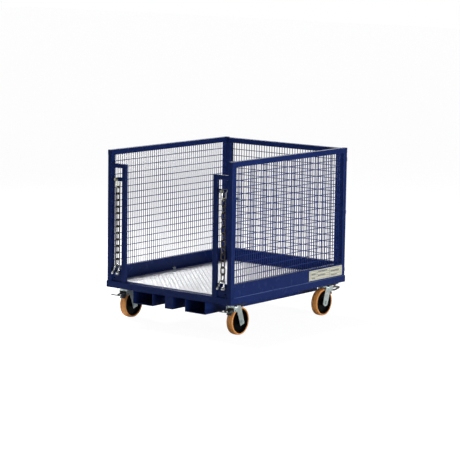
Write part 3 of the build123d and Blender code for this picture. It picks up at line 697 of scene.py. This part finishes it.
def add_bead(body, start, end, radius=BEAD_RADIUS):
    """Lay one rippled bead from start to end, in metres, on a body."""
    mesh_data = beads.setdefault(body, bmesh.new())
    start = Vector(start)
    end = Vector(end)
    run = end - start
    steps = max(4, round(run.length / RIPPLE_PITCH) * 2)
    side = run.orthogonal().normalized()
    other = run.normalized().cross(side)
    rings = []
    for step in range(steps + 1):
        size = radius * (1 - RIPPLE_DEPTH * (step % 2))
        if step in (0, steps):
            size = radius * BEAD_END
        centre = start + run * step / steps
        rings.append(add_ring(mesh_data, centre, side, other, size, BEAD_SIDES))
    for ring, after in zip(rings, rings[1:]):
        add_band(mesh_data, ring, after)
    mesh_data.faces.new(rings[0])
    mesh_data.faces.new(rings[-1])


# %% Measures that the welds are laid to
panel_low, panel_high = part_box("right_side_frame")
stub_low, stub_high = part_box("right_front_stub")
infill_low, infill_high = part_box("front_infills")
mesh_low, mesh_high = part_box("right_side_mesh")
gate_low, gate_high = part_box("gate_frame")
gate_mesh_low, gate_mesh_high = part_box("gate_mesh")
pocket_low, pocket_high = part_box("right_fork_pocket")
beam_low, beam_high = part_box("centre_beam")
_, lug_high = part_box("chain_lugs")
STRIP_TOP = 0.022  # top of the cover strip, above the panel's foot
STUB_TUBE = 0.040
STUB_BAR = 0.032
LUG_THICKNESS = 0.016
LUG_HEIGHT = 0.028


def rounded(vector, digits):
    """Rounded numbers of a vector, for printing."""
    return tuple(round(value, digits) for value in vector)


print("panel from", rounded(panel_low, 3), "to", rounded(panel_high, 3))

# %% Beads on the side panels, on both sides of the cage
for side in (-1, 1):
    inner_x = side * panel_low.x
    outer_x = side * panel_high.x
    for y, inward in ((mesh_low.y, 1), (mesh_high.y, -1)):
        for z in (mesh_low.z, mesh_high.z):
            add_bead(
                "root",
                (inner_x + side * CORNER_GAP, y, z),
                (outer_x - side * CORNER_GAP, y, z),
            )
        add_bead(
            "root",
            (inner_x, y, panel_low.z + STRIP_TOP),
            (inner_x, y, mesh_low.z - CORNER_GAP),
            THIN_BEAD_RADIUS,
        )
        post_end = y - inward * (mesh_low.y - panel_low.y)
        add_bead(
            "root",
            (inner_x, min(y, post_end) + CORNER_GAP, panel_low.z),
            (inner_x, max(y, post_end) - CORNER_GAP, panel_low.z),
        )

# %% Beads on the front stubs, infills and lugs
for side in (-1, 1):
    slot_inner = side * infill_high.x
    stub_x = side * (stub_low.x + STUB_TUBE)
    bar_under = stub_high.z - STUB_BAR
    for x in (slot_inner, stub_x):
        add_bead(
            "root",
            (x, stub_low.y + CORNER_GAP, bar_under),
            (x, stub_high.y - CORNER_GAP, bar_under),
        )
        add_bead(
            "root",
            (x, infill_low.y, infill_low.z + SHEET_GAP),
            (x, infill_low.y, infill_high.z - SHEET_GAP),
        )
    add_bead(
        "root",
        (side * (stub_low.x + CORNER_GAP), stub_high.y, infill_low.z),
        (stub_x - side * CORNER_GAP, stub_high.y, infill_low.z),
    )
    add_bead(
        "root",
        (side * stub_low.x, stub_low.y + CORNER_GAP, infill_low.z),
        (side * stub_low.x, stub_high.y - CORNER_GAP, infill_low.z),
    )
    for y in (lug_high.y - LUG_THICKNESS, lug_high.y):
        foot_z = lug_high.z - LUG_HEIGHT
        add_bead("root", (stub_x, y, foot_z), (stub_x, y, lug_high.z), LUG_BEAD_RADIUS)

# %% Beads under the base, where the fork pockets and centre beam hang
for side in (-1, 1):
    for y in (pocket_low.y, pocket_high.y):
        add_bead(
            "root",
            (side * (pocket_low.x + SHEET_GAP), y, pocket_high.z),
            (side * (pocket_high.x - SHEET_GAP), y, pocket_high.z),
            WIDE_BEAD_RADIUS,
        )
for y in (beam_low.y, beam_high.y):
    add_bead(
        "root",
        (beam_low.x + SHEET_GAP, y, beam_high.z),
        (beam_high.x - SHEET_GAP, y, beam_high.z),
        WIDE_BEAD_RADIUS,
    )

# %% Beads in the corners of the gate
for side in (-1, 1):
    x = side * gate_mesh_high.x
    for z in (gate_mesh_low.z, gate_mesh_high.z):
        add_bead("gate", (x, gate_low.y + CORNER_GAP, z), (x, gate_high.y - CORNER_GAP, z))
    add_bead(
        "gate",
        (x, gate_low.y, gate_low.z + SHEET_GAP),
        (x, gate_low.y, gate_mesh_low.z - SHEET_GAP),
        THIN_BEAD_RADIUS,
    )

for body, mesh_data in beads.items():
    make_piece(body + "_weld_beads", mesh_data, body, "blue_paint")

# %% [markdown]
# ## Seams and the data plate
# A smooth filled seam runs where each side panel meets the base, and its paint is lighter
# there, a painted highlight along the seam. The data plate has a ruled table with nothing written
# in it: thin strips of ink stand a hair above the plate.

# %% Filled seams along the base
SEAM_RADIUS = 0.004
SEAM_SIDES = 12
SEAM_FRONT_GAP = 0.004
SEAM_REAR_GAP = 0.015
seams = bmesh.new()
for side in (-1, 1):
    x = side * panel_high.x
    start = Vector((x, mesh_low.y + SEAM_FRONT_GAP, panel_low.z))
    end = Vector((x, panel_high.y - SEAM_REAR_GAP, panel_low.z))
    add_rod(seams, start, end, SEAM_RADIUS, SEAM_SIDES)
# The seams wear the lighter blue, a painted highlight.
make_piece("base_seams", seams, "root", "blue_paint", own_finish=seam_highlight_enamel)

# %% Ruled table on the data plate
INK_HEIGHT = 0.0003
TABLE_BORDER = 0.012
TABLE_BORDER_UP = 0.6  # the border above and below, as a share of the one at the ends
RULE_WIDTH = 0.0022
FIELD_WIDTH = 0.0060
ROW_RULES = (0.0, 0.28, 0.52, 0.76, 1.0)  # shares of the table's height
COLUMN_RULES = (0.0, 0.22, 0.62, 1.0)  # and of its length
FIELDS = (  # height, start and length of each bar, as shares of the table
    (0.88, 0.25, 0.30),
    (0.64, 0.04, 0.14),
    (0.64, 0.66, 0.26),
    (0.40, 0.25, 0.24),
    (0.14, 0.66, 0.20),
    (0.14, 0.04, 0.12),
)
plate_low, plate_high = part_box("data_plate")


def add_strip(mesh_data, y_range, z_range):
    """A thin flat strip of ink on the plate's face."""
    face_x = plate_high.x
    size = (INK_HEIGHT * 2, y_range[1] - y_range[0], z_range[1] - z_range[0])
    middle = (face_x, (y_range[0] + y_range[1]) / 2, (z_range[0] + z_range[1]) / 2)
    place = Matrix.Translation(middle) @ Matrix.Diagonal((*size, 1))
    bmesh.ops.create_cube(mesh_data, size=1.0, matrix=place)


def plate_table():
    """A border, four rows and three columns, with a few bars as empty fields."""
    ink = bmesh.new()
    half_rule = RULE_WIDTH / 2
    half_field = FIELD_WIDTH / 2
    low_y, high_y = plate_low.y + TABLE_BORDER, plate_high.y - TABLE_BORDER
    low_z = plate_low.z + TABLE_BORDER * TABLE_BORDER_UP
    high_z = plate_high.z - TABLE_BORDER * TABLE_BORDER_UP
    for share in ROW_RULES:
        z = low_z + (high_z - low_z) * share
        add_strip(ink, (low_y, high_y), (z - half_rule, z + half_rule))
    for share in COLUMN_RULES:
        y = low_y + (high_y - low_y) * share
        add_strip(ink, (y - half_rule, y + half_rule), (low_z, high_z))
    for row, column, length in FIELDS:
        y = low_y + (high_y - low_y) * column
        z = low_z + (high_z - low_z) * row
        add_strip(ink, (y, y + (high_y - low_y) * length), (z - half_field, z + half_field))
    return make_piece(
        "data_plate_table", ink, "root", "data_plate", smooth=False, own_finish=plate_ink,
    )


plate_table()

# %% [markdown]
# ## Floor, light and camera
# The cage stands on a plain pale floor in a white studio. Near the horizon the studio wall
# glows, which brightens what is seen through the mesh and in the paint, and overhead it is
# dim. A broad low light on the right brings out the long side. A high light behind on the
# left brightens the floor and the top rails, and a smaller one on the left lifts the panel
# there. The long lens keeps the sides nearly parallel, as it does when a camera stands well
# back.


# %% Studio floor
FLOOR_HALF = 40.0
FLOOR_GLOW = 0.95  # the camera sees a floor that is nearly white by itself
FLOOR_FOR_LIGHT = (0.62, 0.62, 0.62, 1)  # the colour that light bounces from
FLOOR_FOR_CAMERA = (0.13, 0.13, 0.13, 1)  # the colour that the camera sees lit
floor_data = bmesh.new()
bmesh.ops.create_grid(floor_data, x_segments=1, y_segments=1, size=FLOOR_HALF)
floor_mesh = bpy.data.meshes.new("studio_floor")
floor_data.to_mesh(floor_mesh)
floor_data.free()
studio_floor = bpy.data.objects.new("studio_floor", floor_mesh)
bpy.context.scene.collection.objects.link(studio_floor)

floor_paper = bpy.data.materials.new("floor paper")
floor_paper.use_nodes = True
paper = floor_paper.node_tree.nodes["Principled BSDF"]
paper.inputs["Roughness"].default_value = 0.9
paper.inputs["Specular IOR Level"].default_value = 0.1
paper.inputs["Emission Color"].default_value = (1, 1, 1, 1)
floor_tree = floor_paper.node_tree
seen = add(floor_tree, "ShaderNodeLightPath")
glow = add(floor_tree, "ShaderNodeMath", operation="MULTIPLY")
glow.inputs[1].default_value = FLOOR_GLOW
tint = add(floor_tree, "ShaderNodeMix", data_type="RGBA")
tint.inputs["A"].default_value = FLOOR_FOR_LIGHT
tint.inputs["B"].default_value = FLOOR_FOR_CAMERA
join(
    floor_tree,
    ((seen, "Is Camera Ray"), (tint, "Factor")),
    ((tint, "Result"), (paper, "Base Color")),
    ((seen, "Is Camera Ray"), (glow, 0)),
    ((glow, "Value"), (paper, "Emission Strength")),
)
floor_mesh.materials.append(floor_paper)
print("floor laid:", FLOOR_HALF * 2, "m square")

# %% Studio light
HORIZON_GLOW = 1.5
ZENITH_GLOW = 0.09
GLOW_ENDS = (0.13, 0.27)  # upward part of a direction, where the glow starts and stops fading
world = bpy.data.worlds.new("white studio")
bpy.context.scene.world = world
world.use_nodes = True
sky = world.node_tree
sky.nodes.clear()
sky_out = add(sky, "ShaderNodeOutputWorld")
seen_white = add(sky, "ShaderNodeBackground", {"Color": (1, 1, 1, 1), "Strength": 1.0})
soft_fill = add(sky, "ShaderNodeBackground", {"Color": (0.96, 0.98, 1.0, 1)})
direction = add(sky, "ShaderNodeTexCoord")
split = add(sky, "ShaderNodeSeparateXYZ")
falloff = add(sky, "ShaderNodeMapRange", {
    "From Min": GLOW_ENDS[0], "From Max": GLOW_ENDS[1],
    "To Min": HORIZON_GLOW, "To Max": ZENITH_GLOW,
})
choose = add(sky, "ShaderNodeMixShader")
ray = add(sky, "ShaderNodeLightPath")
join(
    sky,
    ((direction, "Generated"), (split, "Vector")),
    ((split, "Z"), (falloff, "Value")),
    ((falloff, "Result"), (soft_fill, "Strength")),
    ((ray, "Is Camera Ray"), (choose, "Fac")),
    ((soft_fill, "Background"), (choose, 1)),
    ((seen_white, "Background"), (choose, 2)),
    ((choose, "Shader"), (sky_out, "Surface")),
)


def soft_box(name, place, target, width, height, power):
    """A flat lamp that faces a point. The camera sees its light, not the lamp itself."""
    light = bpy.data.lights.new(name, "AREA")
    light.shape = "RECTANGLE"
    light.size = width
    light.size_y = height
    light.energy = power
    lamp = bpy.data.objects.new(name, light)
    lamp.visible_camera = False
    lamp.location = place
    lamp.rotation_euler = (Vector(target) - Vector(place)).to_track_quat("-Z", "Y").to_euler()
    bpy.context.scene.collection.objects.link(lamp)
    return lamp


CAGE_MIDDLE = (0, 0, 0.7)
soft_box("side_light", (6.0, -1.0, 0.6), (0.6, 0.0, 0.6), 3.0, 0.9, 285.0)
soft_box("back_light", (-4.2, 1.8, 4.8), CAGE_MIDDLE, 2.2, 2.2, 380.0)
soft_box("left_light", (-3.8, 0.6, 2.5), (0.0, -0.1, 0.3), 1.2, 1.2, 320.0)
print("lights placed:", len(bpy.data.lights))

# %% Camera
CAMERA_PLACE = (9.9669, -12.6354, 3.028)
CAMERA_TURN = 0.6669  # radians to the right of the front
CAMERA_HEIGHT_ANGLE = 0.1454  # radians above the horizon
CAMERA_ROLL = 0.0145  # radians
CAMERA_LENS = 165.68  # mm
CAMERA_REACH = 200.0  # m


def stand_camera():
    """Aim by turn and height angle, then roll the camera a little about its own axis."""
    back = Vector((
        sin(CAMERA_TURN) * cos(CAMERA_HEIGHT_ANGLE),
        -cos(CAMERA_TURN) * cos(CAMERA_HEIGHT_ANGLE),
        sin(CAMERA_HEIGHT_ANGLE),
    ))
    right = (-back).cross(Vector((0, 0, 1))).normalized()
    up = right.cross(-back)
    rolled_right = cos(CAMERA_ROLL) * right + sin(CAMERA_ROLL) * up
    rolled_up = -sin(CAMERA_ROLL) * right + cos(CAMERA_ROLL) * up
    axes = Matrix((rolled_right, rolled_up, back)).transposed()
    data = bpy.data.cameras.new("studio_camera")
    data.lens = CAMERA_LENS
    data.clip_end = CAMERA_REACH
    camera = bpy.data.objects.new("studio_camera", data)
    camera.matrix_world = Matrix.Translation(CAMERA_PLACE) @ axes.to_4x4()
    bpy.context.scene.collection.objects.link(camera)
    bpy.context.scene.camera = camera
    return camera


stand_camera()
bpy.context.scene.view_settings.view_transform = "Standard"
print("camera set:", CAMERA_LENS, "mm lens")
